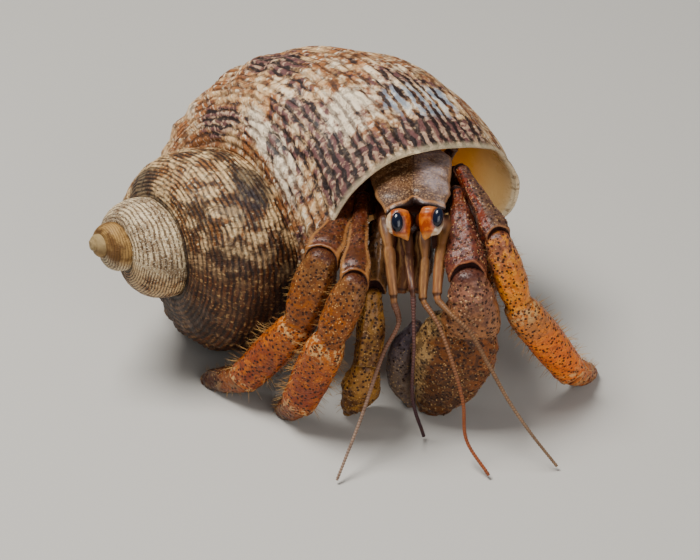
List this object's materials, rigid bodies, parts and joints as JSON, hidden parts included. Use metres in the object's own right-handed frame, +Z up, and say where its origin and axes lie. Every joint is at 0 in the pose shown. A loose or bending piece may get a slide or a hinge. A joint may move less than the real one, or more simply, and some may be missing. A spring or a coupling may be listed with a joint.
{
  "type": "land hermit crab in a turban shell",
  "caption": "Still life-size model of a land hermit crab standing in its spiral turban shell, claws, walking legs and feelers spread on the floor.",
  "frame": {"origin": "middle of the model's box, at the floor that it stands on", "axes": "+Z up, the crab faces -Y, its own left side towards +X, the shell's spire points towards -X"},
  "size_m": [0.052, 0.045, 0.0306],
  "materials": {
    "shell": "matt shell lime, cream with purple-brown flames",
    "shield": "satin horny plate, mauve brown",
    "body": "soft dark brown skin",
    "leg": "satin horny plates, orange with dark dots",
    "claw": "satin horny plates, brown with pale tubercles",
    "feeler": "satin horny stems, tan",
    "eyestalk": "satin, orange with a cream edge",
    "cornea": "wet black gloss"
  },
  "bodies": {
    "root": {"shell": "shell", "cornea_right": "cornea", "eyestalk_right": "eyestalk", "cornea_left": "cornea", "eyestalk_left": "eyestalk", "shield": "shield", "thorax": "body", "antenna_right_peduncle": "feeler", "antenna_right_flagellum": "feeler", "antenna_left_peduncle": "feeler", "antenna_left_flagellum": "feeler", "antennule_right_peduncle": "feeler", "antennule_right_flagellum": "feeler", "antennule_left_peduncle": "feeler", "antennule_left_flagellum": "feeler", "maxilliped_right": "body", "maxilliped_left": "body", "mouthparts": "body", "cheliped_left_merus": "claw", "cheliped_left_carpus": "claw", "cheliped_left_palm": "claw", "cheliped_left_dactylus": "claw", "cheliped_left_base": "claw", "cheliped_right_merus": "claw", "cheliped_right_carpus": "claw", "cheliped_right_palm": "claw", "cheliped_right_dactylus": "claw", "cheliped_right_base": "claw", "leg3_right_merus": "leg", "leg3_right_carpus": "leg", "leg3_right_propodus": "leg", "leg3_right_dactylus": "leg", "leg3_right_base": "leg", "leg2_right_merus": "leg", "leg2_right_carpus": "leg", "leg2_right_propodus": "leg", "leg2_right_dactylus": "leg", "leg2_right_base": "leg", "leg2_left_merus": "leg", "leg2_left_carpus": "leg", "leg2_left_propodus": "leg", "leg2_left_dactylus": "leg", "leg2_left_base": "leg", "leg3_left_merus": "leg", "leg3_left_carpus": "leg", "leg3_left_propodus": "leg", "leg3_left_dactylus": "leg", "leg3_left_base": "leg", "leg4_right": "leg", "leg4_left": "leg", "leg5_right": "leg", "leg5_left": "leg", "abdomen": "body"}
  },
  "joints": []
}
